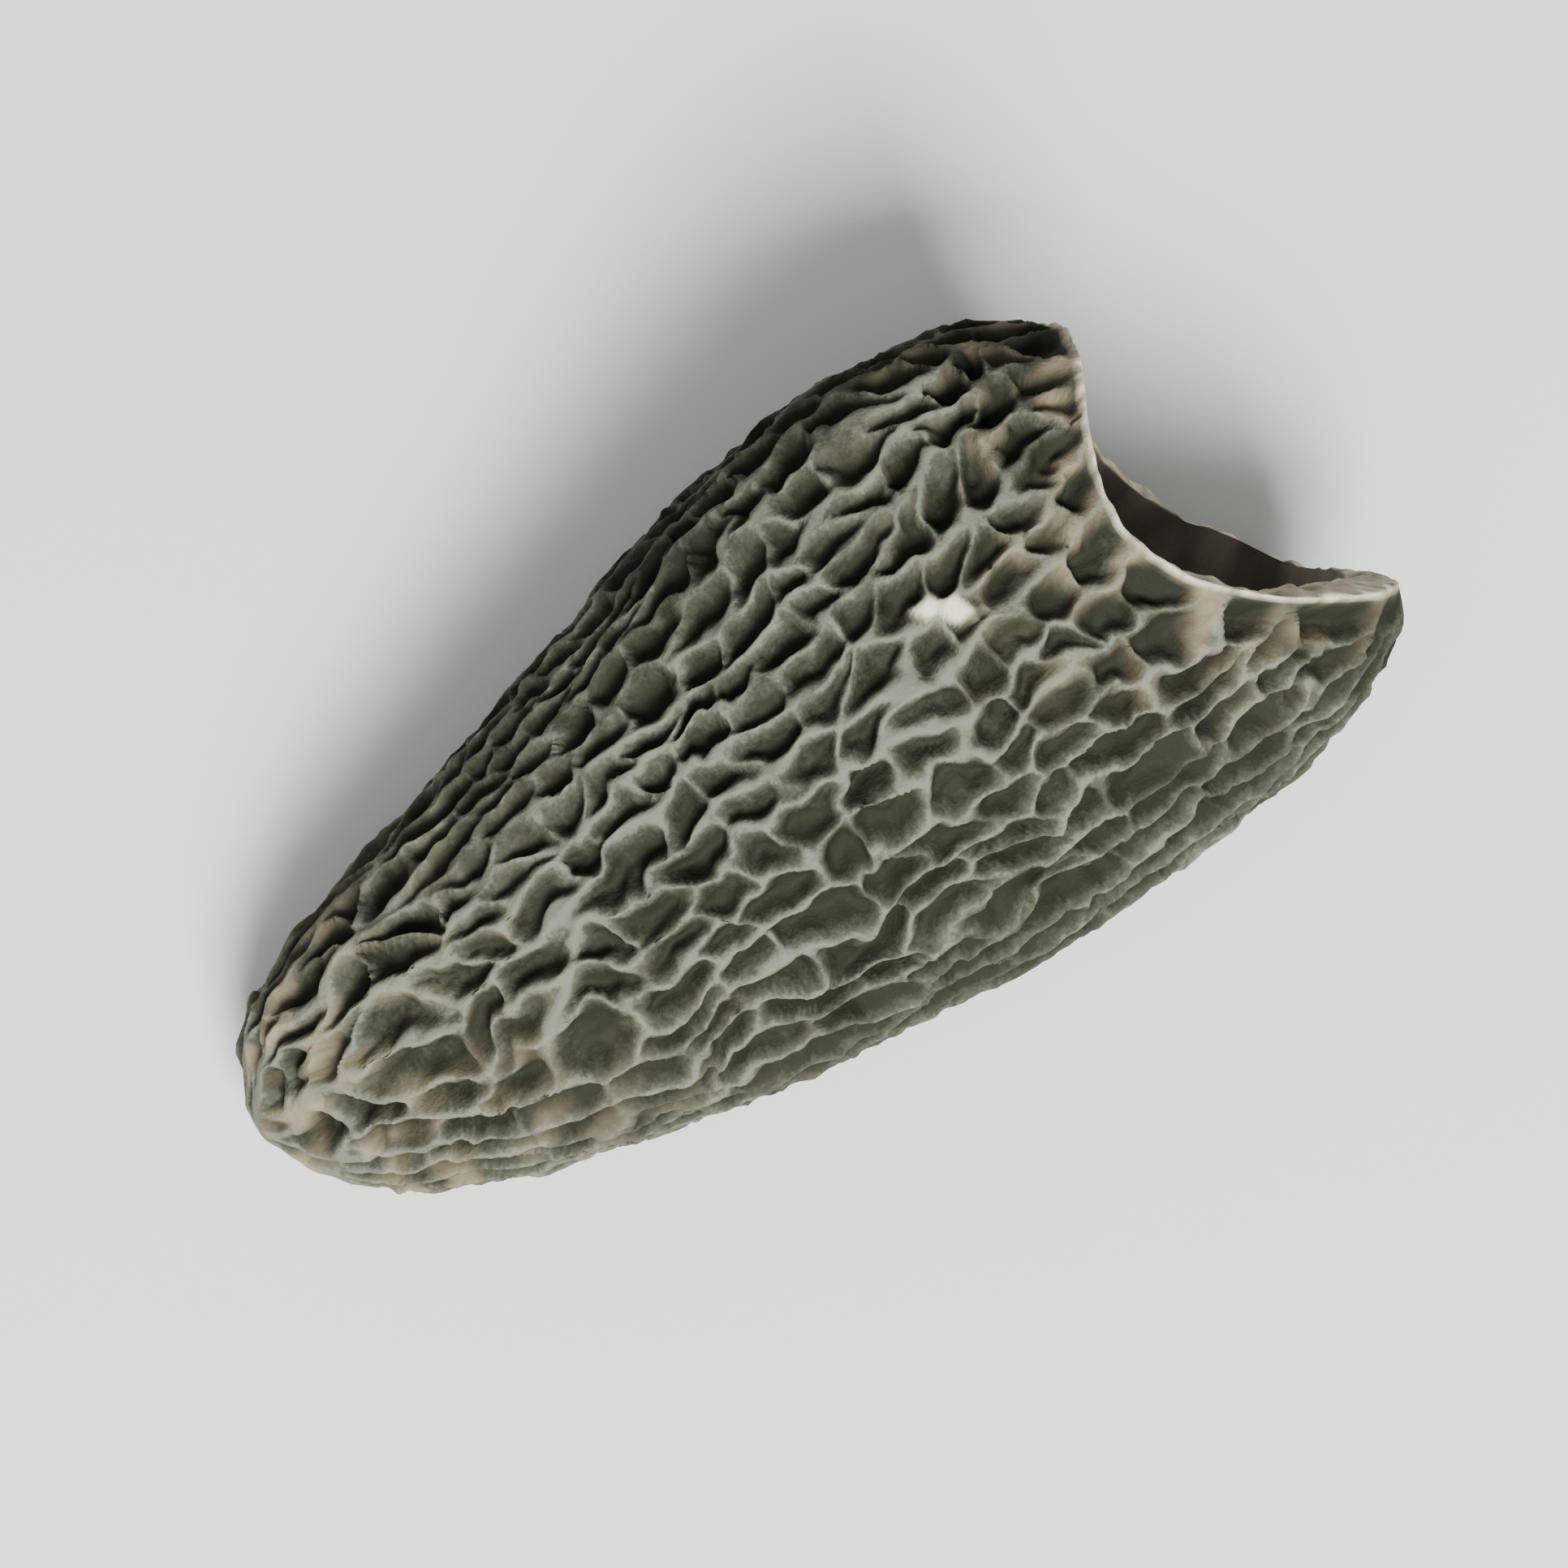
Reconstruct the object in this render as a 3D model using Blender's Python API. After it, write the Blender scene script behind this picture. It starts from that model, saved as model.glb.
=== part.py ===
"""One dried morel: the hollow, net-ridged cap of a black morel, cut from its stem and lying on its side.

Run it with  blender --background --python part.py  or from Blender's text editor.
The sketch is in millimetres. x runs along the cap from its tip at 0 to its cut end, and phi is the
angle around the cap, from 0 at its top (+Z) through +Y. The finished mesh is in metres.
"""

import math

import bmesh
import bpy
import numpy as np
from mathutils import Vector
from mathutils.geometry import delaunay_2d_cdt

MM = 0.001
TURN = 2 * math.pi

# The outline of the ridge tops as (x, r), tip to cut end, where the end is shortest and where it is longest.
SHORT_SIDE = ((0, 0), (0.5, 1.9), (1.8, 3.7), (5, 5.5), (9.5, 6.9), (16, 8.4), (22.5, 9.6),
              (27.5, 9.8), (31.8, 8.7), (34.6, 7.1), (35.7, 5.9))
LONG_SIDE = ((0, 0), (0.5, 1.9), (1.8, 3.7), (5, 5.5), (9.5, 6.9), (16, 8.4), (23.5, 9.8),
             (31, 10.3), (36, 10.2), (38.4, 9.5), (39.3, 8.3), (39.0, 7.0))
LONG_AT, LONG_SHARPNESS = math.radians(-112), 2.0
# The outline of the hollow, in the same two places.
HOLLOW_SHORT = ((3, 0), (3.4, 1.3), (4.8, 2.9), (9.3, 4.9), (16, 6.4), (22.5, 7.6), (27.5, 7.9), (31.5, 6.9),
                (34.2, 5.6), (35.4, 4.9))
HOLLOW_LONG = ((3, 0), (3.4, 1.3), (4.8, 2.9), (9.3, 4.9), (16, 6.4), (23.5, 7.8), (30.5, 8.4), (35.4, 8.2),
               (37.3, 7.4), (38.2, 6.6), (38.5, 5.9))
# The cut scoops deepest at BITE_AT, where it takes this share off the length. The loss fades with the
# angle, and is spread over the last part of the cap, BITE_REACH, so the rows of pits only close up.
BITE, BITE_AT, BITE_WIDTH = 0.16, math.radians(-26), math.radians(44)
BITE_REACH, BITE_CURVE = 0.7, 1.5

# The middle line: it slopes down to the tip, droops and bends aside there.
MIDDLE_HEIGHT, WIDEST_X, SLOPE = 10.0, 28, 0.115
TIP_DROOP, DROOP_LENGTH = 3.0, 9.0
TIP_ASIDE, ASIDE_LENGTH = 3.0, 18.0

# Shrivelled lumps: (height as a share of r, waves around, waves along the cap, phase).
LUMPS = ((0.020, 2, 0.7, 0.6), (0.018, 3, -1.2, 2.1), (0.012, 5, 1.9, 4.0), (0.009, 7, -2.6, 1.2))
# The side it dried on is pressed flatter, over the height PRESS, and its lowest ridge tops are worn level,
# by WORN. The hollow stays above HOLLOW_LEVEL. Under the weight, one small spot is flat across its pits.
PRESS, WORN, HOLLOW_LEVEL = 0.55, 0.4, 1.9
FLAT_SPOT, SPOT_REACH = (21.5, -0.3), 2.3

# The net of ridges. Pits stand in furrows, FURROW_PITCH apart at the widest radius. On the side around
# WIDE_AT they are wider and shorter, and on the other side narrower and longer.
WIDEST_R = 10.2
FURROW_PITCH, PITCH_SWING, WIDE_AT = 1.55, 0.26, math.radians(60)
PIT_LENGTH, LENGTH_SWING = 2.75, 0.85
FIRST_PIT = (0.85, 1.1)
TIP_PIT_SHARE = 0.62
PIT_STRETCH = 2.4
AROUND_JITTER, ALONG_JITTER = 0.12, 0.28
# Slow swings of the furrows: (radians, waves around, waves along the net, phase).
SWINGS = ((0.055, 2, 5.0, 0.4), (0.030, 5, -9.0, 2.0))
# Every other furrow ends where the cap narrows to the first radius, give or take, every fourth at the
# second, and so on. The rest reach the tip.
FURROWS_END_AT_R = (7.0, 4.0, 2.1)
END_SPREAD = (0.82, 1.2)
TIP_START_R, NET_TIP_S = 0.95, 0.35
SHORTEST_RIDGE = 0.30
PIT_DEPTH, DEPTH_SPREAD = 1.0, 0.15
FLOOR_SHARE = 0.56
SEED = 11

# The mesh of the hollow, and the tables along the outline.
HOLLOW_SIDES, HOLLOW_ROWS = 30, 13
TABLE_ROWS, ANGLE_STEPS = 3000, 720

# Where the middle of the finished solid's box lies in the sketch.
BOX_MIDDLE = (19.61, -0.37)


def through(points, t):
    """Smooth curve through the points at t from 0 to 1. It leaves the middle line squarely."""
    p = np.array(points, float)
    knot = np.concatenate([[0], np.cumsum(np.hypot(*np.diff(p, axis=0).T))])
    knot /= knot[-1]
    wide = np.vstack([p[0] + (p[1] - p[0]) * (1, -1), p, 2 * p[-1] - p[-2]])
    spaced = np.concatenate([[-knot[1]], knot, [2 - knot[-2]]])
    slope = (wide[2:] - wide[:-2]) / (spaced[2:] - spaced[:-2])[:, None]
    t = np.asarray(t, float)
    i = np.clip(np.searchsorted(knot, t, side="right") - 1, 0, len(p) - 2)
    step = (knot[i + 1] - knot[i])[..., None]
    u = (t - knot[i])[..., None] / step
    return ((1 + 2 * u) * (1 - u) ** 2 * p[i] + u * (1 - u) ** 2 * step * slope[i]
            + u * u * (3 - 2 * u) * p[i + 1] + u * u * (u - 1) * step * slope[i + 1])


def placed(phi, t, short, long):
    """The sketch point at angle phi and share t of the way to the cut end, on a wall of these outlines."""
    phi, t = np.broadcast_arrays(np.asarray(phi, float), np.asarray(t, float))
    off_bite = (phi - BITE_AT + math.pi) % TURN - math.pi
    near_end = np.clip((t - 1 + BITE_REACH) / BITE_REACH, 0, 1) ** BITE_CURVE
    t = t - BITE * np.exp(-((off_bite / BITE_WIDTH) ** 2)) * near_end
    near_long = ((0.5 + 0.5 * np.cos(phi - LONG_AT)) ** LONG_SHARPNESS)[..., None]
    outline = (1 - near_long) * through(short, t) + near_long * through(long, t)
    x, r = outline[..., 0], outline[..., 1]
    r = r * (1 + sum(a * np.cos(m * phi + k * x / WIDEST_R + b) for a, m, k, b in LUMPS))
    to_tip = np.clip(1 - x / ASIDE_LENGTH, 0, None)
    y = TIP_ASIDE * to_tip**2 + r * np.sin(phi)
    middle = MIDDLE_HEIGHT + SLOPE * (x - WIDEST_X) - TIP_DROOP * np.exp(-x / DROOP_LENGTH)
    z = middle + r * np.cos(phi)
    return np.stack([x, y, z], axis=-1)


def pressed(points, level):
    """The points with those under the level squeezed up to it, softly."""
    lifted = points.copy()
    lifted[..., 2] = level + PRESS * np.logaddexp(0, (points[..., 2] - level) / PRESS)
    return lifted


def ridge_top(phi, t):
    """Where the ridge tops lie."""
    return pressed(placed(phi, t, SHORT_SIDE, LONG_SIDE), 0.0)


def hollow_wall(phi, t):
    """Where the wall of the hollow lies, a pit's depth and a skin's thickness inside the ridge tops."""
    return pressed(placed(phi, t, HOLLOW_SHORT, HOLLOW_LONG), HOLLOW_LEVEL)


def net_rows():
    """Tables along the mean outline: t, length s from the tip, radius r, and the net's own coordinate.

    That coordinate is the integral of ds / r, less its value at the cut end, so that a small square of the
    net's plane is square on the cap too. It is then divided by PIT_STRETCH, which makes the pits long.
    """
    t = np.linspace(0.002, 1, TABLE_ROWS)
    outline = (through(SHORT_SIDE, t) + through(LONG_SIDE, t)) / 2
    r = outline[:, 1]
    step = np.hypot(*np.diff(outline, axis=0).T)
    s = r[0] + np.concatenate([[0], np.cumsum(step)])
    rise = np.concatenate([[0], np.cumsum(step / ((r[1:] + r[:-1]) / 2))])
    return t, s, r, (rise - rise[-1]) / PIT_STRETCH


def furrow_angles():
    """The angle of each furrow between two long ridges. Furrows are wider on one side of the cap."""
    fine = np.linspace(0, TURN, ANGLE_STEPS + 1)
    crowding = WIDEST_R / (FURROW_PITCH + PITCH_SWING * np.cos(fine - WIDE_AT))
    count = np.concatenate([[0], np.cumsum((crowding[1:] + crowding[:-1]) / 2 * np.diff(fine))])
    eighths = 8 * round(count[-1] / 8)
    return np.interp(np.arange(eighths) / eighths * count[-1], count, fine)


def pit_centres():
    """(around, along) of every pit's centre in the net's plane. Furrows end as the cap narrows."""
    rng = np.random.default_rng(SEED)
    _, s, r, along = net_rows()
    rising = s <= s[np.argmax(r)]
    centres = []
    for k, angle in enumerate(furrow_angles()):
        halvings = (k & -k).bit_length() - 1 if k else len(FURROWS_END_AT_R)
        end_r = (FURROWS_END_AT_R + (TIP_START_R,))[min(halvings, len(FURROWS_END_AT_R))]
        end_s = np.interp(end_r * rng.uniform(*END_SPREAD), r[rising], s[rising])
        length = PIT_LENGTH - LENGTH_SWING * math.cos(angle - WIDE_AT)
        here = s[-1] - length * (0.5 if k % 2 else 1.0) * rng.uniform(*FIRST_PIT)
        while here > end_s:
            local_r = np.interp(here, s, r)
            sway = rng.uniform(-1, 1) * AROUND_JITTER * FURROW_PITCH / local_r
            level = np.interp(here, s, along)
            sway += sum(a * math.sin(m * angle + k * level + b) for a, m, k, b in SWINGS)
            centres.append((angle + sway, level))
            shorter = TIP_PIT_SHARE + (1 - TIP_PIT_SHARE) * local_r / WIDEST_R
            here -= length * shorter * (1 + rng.uniform(-1, 1) * ALONG_JITTER)
    return np.array(centres)


def circumcentre(a, b, c):
    """The point at equal distance from three points of the plane."""
    ab, ac = b - a, c - a
    twice = 2 * (ab.x * ac.y - ab.y * ac.x)
    x = (ac.y * ab.length_squared - ab.y * ac.length_squared) / twice
    y = (ab.x * ac.length_squared - ac.x * ab.length_squared) / twice
    return a.x + x, a.y + y


def pit_outlines(centres):
    """Each pit's corners in the net's plane: its Voronoi cell.

    Centres mirrored over the lines of the tip and the cut end make the cells end on those lines, and copies
    a turn away close the net.
    """
    _, s, _, along = net_rows()
    tip_line = np.interp(NET_TIP_S, s, along)
    mirrored = [centres, centres * (1, -1), centres * (1, -1) + (0, 2 * tip_line)]
    plane = np.vstack([rows + (turn * TURN, 0) for turn in (0, -1, 1) for rows in mirrored])
    points, _, triangles, origin, _, _ = delaunay_2d_cdt([Vector(p) for p in plane], [], [], 0, 1e-9)
    corners = {i: [] for i in range(len(centres))}
    for triangle in triangles:
        mine = [i for v in triangle for i in origin[v] if i < len(centres)]
        if mine:
            corner = circumcentre(*(points[v] for v in triangle))
            for i in mine:
                corners[i].append(corner)
    outlines = []
    for i, found in corners.items():
        cx, cy = centres[i]
        found.sort(key=lambda p: -math.atan2(p[1] - cy, p[0] - cx))
        outlines.append(found)
    return outlines, tip_line


def add_net(bm):
    """Adds the ridged outside: a face for each pit, drawn in and pushed down from its ridges."""
    outlines, tip_line = pit_outlines(pit_centres())
    t, _, _, along = net_rows()
    made = {}
    tip = bm.verts.new(ridge_top(0, 0))

    def corner(p):
        if p[1] < tip_line + 1e-5:
            return tip
        key = (round(p[0] % TURN, 5) % round(TURN, 5), round(p[1], 5))
        if key not in made:
            made[key] = bm.verts.new(ridge_top(p[0], np.interp(p[1], along, t)))
        return made[key]

    for outline in outlines:
        verts = list(dict.fromkeys(corner(p) for p in outline))
        bm.faces.new(verts)
    bmesh.ops.remove_doubles(bm, verts=bm.verts, dist=SHORTEST_RIDGE)
    bm.normal_update()
    pits = list(bm.faces)
    rng = np.random.default_rng(SEED + 1)
    depths = PIT_DEPTH * (1 + DEPTH_SPREAD * rng.uniform(-1, 1, len(pits)))
    bmesh.ops.inset_individual(bm, faces=pits, thickness=0.0, depth=0.0)
    for pit, depth in zip(pits, depths):
        centre, down = pit.calc_center_median(), -pit.normal
        from_spot = (centre - Vector((*FLAT_SPOT, 0))).length
        depth *= 1 - math.exp(-((from_spot / SPOT_REACH) ** 2))
        for vert in pit.verts:
            vert.co = centre + (vert.co - centre) * FLOOR_SHARE + down * depth


def add_hollow(bm):
    """Adds the wall of the hollow, from half a sphere whose rim becomes the inner edge of the cut end."""
    rows = 2 * HOLLOW_ROWS
    verts = bmesh.ops.create_uvsphere(bm, u_segments=HOLLOW_SIDES, v_segments=rows, radius=1.0)["verts"]
    below = [v for v in verts if v.co.z < -1e-4]
    bmesh.ops.delete(bm, geom=below, context="VERTS")
    for vert in (v for v in verts if v.is_valid):
        phi = math.atan2(vert.co.x, vert.co.y)
        t = 1 - math.asin(max(0.0, min(1.0, vert.co.z))) / (math.pi / 2)
        vert.co = hollow_wall(phi, t)


def join_cut_end(bm):
    """Joins the outside to the hollow with the flesh that the knife laid bare."""
    open_edges = [e for e in bm.edges if len(e.link_faces) == 1]
    bmesh.ops.bridge_loops(bm, edges=open_edges)


def build_cap(collection):
    """The whole cap as one closed solid."""
    bm = bmesh.new()
    add_net(bm)
    add_hollow(bm)
    join_cut_end(bm)
    bmesh.ops.triangulate(bm, faces=bm.faces)
    bmesh.ops.recalc_face_normals(bm, faces=bm.faces)
    bmesh.ops.translate(bm, verts=bm.verts, vec=(-BOX_MIDDLE[0], -BOX_MIDDLE[1], -WORN))
    bmesh.ops.scale(bm, verts=bm.verts, vec=(MM, MM, MM))
    mesh = bpy.data.meshes.new("dried_morel")
    bm.to_mesh(mesh)
    bm.free()
    cap = bpy.data.objects.new("dried_morel", mesh)
    collection.objects.link(cap)
    return cap


def wear_level(cap, collection):
    """Cuts the lowest ridge tops level, so that the cap lies on small flats."""
    bpy.ops.mesh.primitive_cube_add(size=1)
    ground = bpy.context.object
    ground.name = "ground_cutter"
    ground.scale = (0.1, 0.1, 0.02)
    ground.location = (0, 0, -0.01)
    for old in list(ground.users_collection):
        old.objects.unlink(ground)
    collection.objects.link(ground)
    ground.hide_render = True
    ground.display_type = "WIRE"
    cut = cap.modifiers.new("worn level", "BOOLEAN")
    cut.operation = "DIFFERENCE"
    cut.object = ground


def dried_flesh():
    """The charcoal grey of a dried black morel."""
    material = bpy.data.materials.new("dried flesh")
    material.use_nodes = True
    shader = material.node_tree.nodes["Principled BSDF"]
    shader.inputs["Base Color"].default_value = (0.095, 0.095, 0.08, 1)
    shader.inputs["Roughness"].default_value = 0.85
    shader.inputs["Metallic"].default_value = 0.0
    return material


def main():
    for old in list(bpy.data.objects):
        bpy.data.objects.remove(old)
    parts = bpy.data.collections.new("Dried morel")
    cutters = bpy.data.collections.new("Cutters")
    for collection in (parts, cutters):
        bpy.context.scene.collection.children.link(collection)
    cap = build_cap(parts)
    cap.data.materials.append(dried_flesh())
    wear_level(cap, cutters)


main()
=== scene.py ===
# %% [markdown]
# A dried morel
#
# This lesson dresses one dried black morel, the hollow cap that cooks soak before use. The fresh mushroom is a
# soft cone covered with a net of ridges round deep pits. As it dries, the flesh between the ridges goes dark
# charcoal and sinks, and the ridge tops turn to thin, pale grey, wavering lines.
#
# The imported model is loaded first. It has the real size and stays where it is: everything made here fits it.

import bpy
import numpy as np
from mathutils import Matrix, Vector


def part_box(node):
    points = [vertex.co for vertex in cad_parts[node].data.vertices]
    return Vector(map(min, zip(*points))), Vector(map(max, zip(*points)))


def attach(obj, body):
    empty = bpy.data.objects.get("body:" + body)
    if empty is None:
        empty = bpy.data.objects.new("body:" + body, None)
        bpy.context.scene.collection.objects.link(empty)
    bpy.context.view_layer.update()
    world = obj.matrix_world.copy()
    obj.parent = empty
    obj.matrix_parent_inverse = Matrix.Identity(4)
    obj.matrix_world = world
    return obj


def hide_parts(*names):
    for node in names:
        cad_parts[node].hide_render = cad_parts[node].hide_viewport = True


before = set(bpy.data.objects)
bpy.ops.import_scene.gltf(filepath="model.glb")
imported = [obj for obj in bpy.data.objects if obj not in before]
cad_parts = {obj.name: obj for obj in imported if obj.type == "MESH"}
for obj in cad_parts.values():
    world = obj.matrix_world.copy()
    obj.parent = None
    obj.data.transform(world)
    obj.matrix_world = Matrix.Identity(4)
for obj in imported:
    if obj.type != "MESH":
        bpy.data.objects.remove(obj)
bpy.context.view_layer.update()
CAP = "dried_morel"
MM = 0.001
TURN = 2 * np.pi

# %% [markdown]
# The view
#
# The cap lies on its side with its tip at the lower left and its cut end at the upper right, and it is seen from
# above. So the camera looks steeply down, turned until the cap's length, the X axis, climbs to the right. A long
# lens from further off keeps the near side from swelling, as it does in a close photograph of a small thing.

# %% Place the camera
VIEW_AZIMUTH, VIEW_ELEVATION = np.radians(-39.7), np.radians(70)
LENS_MM, SENSOR_MM = 150, 36
FRAME_WIDTH = 51 * MM
CLIP_START, CLIP_END = 0.01, 10


def toward_camera():
    """Unit vector from the cap to the camera: azimuth turns it about Z from -Y, and elevation lifts it."""
    flat = np.cos(VIEW_ELEVATION)
    return np.array([np.sin(VIEW_AZIMUTH) * flat, -np.cos(VIEW_AZIMUTH) * flat, np.sin(VIEW_ELEVATION)])


def image_axes():
    """Unit vectors in the world that run right and up in the picture."""
    right = np.array([np.cos(VIEW_AZIMUTH), np.sin(VIEW_AZIMUTH), 0])
    return right, np.cross(toward_camera(), right)


low, high = (np.array(corner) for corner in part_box(CAP))
middle = (low + high) / 2
distance = FRAME_WIDTH * LENS_MM / SENSOR_MM
camera_data = bpy.data.cameras.new("camera")
camera_data.lens, camera_data.sensor_width = LENS_MM, SENSOR_MM
camera_data.clip_start, camera_data.clip_end = CLIP_START, CLIP_END
camera = bpy.data.objects.new("camera", camera_data)
camera.location = middle + distance * toward_camera()
camera.rotation_euler = Vector(toward_camera()).to_track_quat("Z", "Y").to_euler()
bpy.context.scene.collection.objects.link(camera)
bpy.context.scene.camera = camera
print("camera", round(distance, 3), "m from the cap's middle")

# %% [markdown]
# The outline
#
# Any slice of the cap across its length is nearly round, so its shape starts as an outline: how far the ridge
# tops stand from the middle line, all the way from the tip to the cut end. The knife went through at a slant, so
# there are two outlines, one where the cap ends shortest and one where it ends longest, and the rest lies between.
# On the upper side the cut scoops in deeper still: there each outline is followed only part of the way. The hollow
# has its own pair. Each point is the distance along the cap from its tip and the radius there, in millimetres. The
# cap could be sculpted by hand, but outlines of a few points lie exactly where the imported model's ridge tops do.

# %% Outlines of the ridge tops and of the hollow
SHORT_SIDE = ((0, 0), (0.5, 1.9), (1.8, 3.7), (5, 5.5), (9.5, 6.9), (16, 8.4), (22.5, 9.6),
              (27.5, 9.8), (31.8, 8.7), (34.6, 7.1), (35.7, 5.9))
LONG_SIDE = ((0, 0), (0.5, 1.9), (1.8, 3.7), (5, 5.5), (9.5, 6.9), (16, 8.4), (23.5, 9.8),
             (31, 10.3), (36, 10.2), (38.4, 9.5), (39.3, 8.3), (39.0, 7.0))
LONG_AT, LONG_SHARPNESS = np.radians(-112), 2.0
HOLLOW_SHORT = ((3, 0), (3.4, 1.3), (4.8, 2.9), (9.3, 4.9), (16, 6.4), (22.5, 7.6), (27.5, 7.9), (31.5, 6.9),
                (34.2, 5.6), (35.4, 4.9))
HOLLOW_LONG = ((3, 0), (3.4, 1.3), (4.8, 2.9), (9.3, 4.9), (16, 6.4), (23.5, 7.8), (30.5, 8.4), (35.4, 8.2),
               (37.3, 7.4), (38.2, 6.6), (38.5, 5.9))


def through(points, t):
    """A smooth curve through the points, for t from 0 to 1 along their length.

    Between two points it is the cubic that passes both with the slopes of its neighbours (Hermite's formula). The
    point before the first is its mirror image, so the curve leaves the middle line squarely, as a round tip does.
    """
    p = np.array(points, float)
    knot = np.concatenate([[0], np.cumsum(np.hypot(*np.diff(p, axis=0).T))])
    knot /= knot[-1]
    wide = np.vstack([p[0] + (p[1] - p[0]) * (1, -1), p, 2 * p[-1] - p[-2]])
    spaced = np.concatenate([[-knot[1]], knot, [2 - knot[-2]]])
    slope = (wide[2:] - wide[:-2]) / (spaced[2:] - spaced[:-2])[:, None]
    i = np.clip(np.searchsorted(knot, t, side="right") - 1, 0, len(p) - 2)
    step = (knot[i + 1] - knot[i])[..., None]
    u = (t - knot[i])[..., None] / step
    return ((1 + 2 * u) * (1 - u) ** 2 * p[i] + u * (1 - u) ** 2 * step * slope[i]
            + u * u * (3 - 2 * u) * p[i + 1] + u * u * (u - 1) * step * slope[i + 1])


print("widest radius", round(through(SHORT_SIDE, np.linspace(0, 1, 200))[:, 1].max(), 2), "mm")

# %% [markdown]
# From outline to surface
#
# The outline is swept round the middle line by an angle, phi, which starts at the top and grows towards +Y. Four
# slow waves make the cap lumpy, because drying flesh doesn't shrink evenly. The middle line bends down and aside
# near the tip. Last, the side it dried on is pressed flatter, by a formula that squeezes whatever would sink
# under the table softly up to it.

# %% The surface that the ridge tops reach, and the wall of the hollow
MIDDLE_HEIGHT, WIDEST_X, SLOPE = 10.0, 28, 0.115
TIP_DROOP, DROOP_LENGTH = 3.0, 9.0
TIP_ASIDE, ASIDE_LENGTH = 3.0, 18.0
WIDEST_R = 10.2
# Each wave is its share of the radius, how often it goes round, how it turns along the cap, and its phase.
LUMPS = ((0.020, 2, 0.7, 0.6), (0.018, 3, -1.2, 2.1), (0.012, 5, 1.9, 4.0), (0.009, 7, -2.6, 1.2))
BITE, BITE_AT, BITE_WIDTH = 0.16, np.radians(-26), np.radians(44)
BITE_REACH, BITE_CURVE = 0.7, 1.5
PRESS, WORN, HOLLOW_LEVEL = 0.55, 0.4, 1.9
BOX_MIDDLE = (19.61, -0.37)


def placed(phi, t, short, long):
    """The point at angle phi and share t of the way to the cut end: middle line + r * (sin phi, cos phi) across."""
    phi, t = np.broadcast_arrays(np.asarray(phi, float), np.asarray(t, float))
    off_bite = (phi - BITE_AT + np.pi) % TURN - np.pi
    near_end = np.clip((t - 1 + BITE_REACH) / BITE_REACH, 0, 1) ** BITE_CURVE
    t = t - BITE * np.exp(-((off_bite / BITE_WIDTH) ** 2)) * near_end
    near_long = ((0.5 + 0.5 * np.cos(phi - LONG_AT)) ** LONG_SHARPNESS)[..., None]
    outline = (1 - near_long) * through(short, t) + near_long * through(long, t)
    x, r = outline[..., 0], outline[..., 1]
    waves = (size * np.cos(times * phi + turn * x / WIDEST_R + phase) for size, times, turn, phase in LUMPS)
    r = r * (1 + sum(waves))
    to_tip = np.clip(1 - x / ASIDE_LENGTH, 0, None)
    y = TIP_ASIDE * to_tip**2 + r * np.sin(phi)
    height = MIDDLE_HEIGHT + SLOPE * (x - WIDEST_X) - TIP_DROOP * np.exp(-x / DROOP_LENGTH)
    return np.stack([x, y, height + r * np.cos(phi)], axis=-1)


def pressed(points, level):
    """Heights under the level squeezed up to it: level + PRESS * log(1 + exp((height - level) / PRESS))."""
    lifted = points.copy()
    lifted[..., 2] = level + PRESS * np.logaddexp(0, (points[..., 2] - level) / PRESS)
    return lifted


def ridge_top(phi, t):
    """Where the ridge tops lie."""
    return pressed(placed(phi, t, SHORT_SIDE, LONG_SIDE), 0.0)


def hollow_wall(phi, t):
    """Where the wall of the hollow lies, a pit's depth and a skin's thickness inside the ridge tops."""
    return pressed(placed(phi, t, HOLLOW_SHORT, HOLLOW_LONG), HOLLOW_LEVEL)


# %% [markdown]
# Unrolling the cap
#
# The net is laid out on a flat map of the cap, with the angle across and a stretched length along. On the map, a
# step along is the real step divided by the radius there, as on a sailor's chart, so small squares stay square
# and a pattern that is even on the map is even on the cap. The ridges of a morel grow mainly lengthwise, so the
# map is then squeezed along by PIT_STRETCH, which makes pits that are round on the map long on the cap.

# %% The map's own lengthwise coordinate
PIT_STRETCH = 2.4
TABLE_START, TABLE_ROWS = 0.002, 3000


def map_rows():
    """t, length s from the tip, radius r and map coordinate, where the coordinate is the sum of ds / r / stretch."""
    t = np.linspace(TABLE_START, 1, TABLE_ROWS)
    outline = (through(SHORT_SIDE, t) + through(LONG_SIDE, t)) / 2
    r = outline[:, 1]
    step = np.hypot(*np.diff(outline, axis=0).T)
    s = r[0] + np.concatenate([[0], np.cumsum(step)])
    rise = np.concatenate([[0], np.cumsum(step / ((r[1:] + r[:-1]) / 2))])
    return t, s, r, (rise - rise[-1]) / PIT_STRETCH


MAP_T, MAP_S, MAP_R, MAP_ALONG = map_rows()
print("length over the surface from tip to cut end", round(MAP_S[-1], 1), "mm")

# %% [markdown]
# Where the pits sit
#
# Each pit is one centre on the map. Centres stand in furrows that run from the cut end to the tip, with a seeded
# random sway. Where the cap narrows, every other furrow stops, or the pits would become too thin: that is how
# the ridges of a real morel run together. The ridges themselves follow from the centres: a ridge runs wherever
# two centres are equally near, which is called a Voronoi diagram and grows in nature wherever cells push
# against each other.

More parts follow.
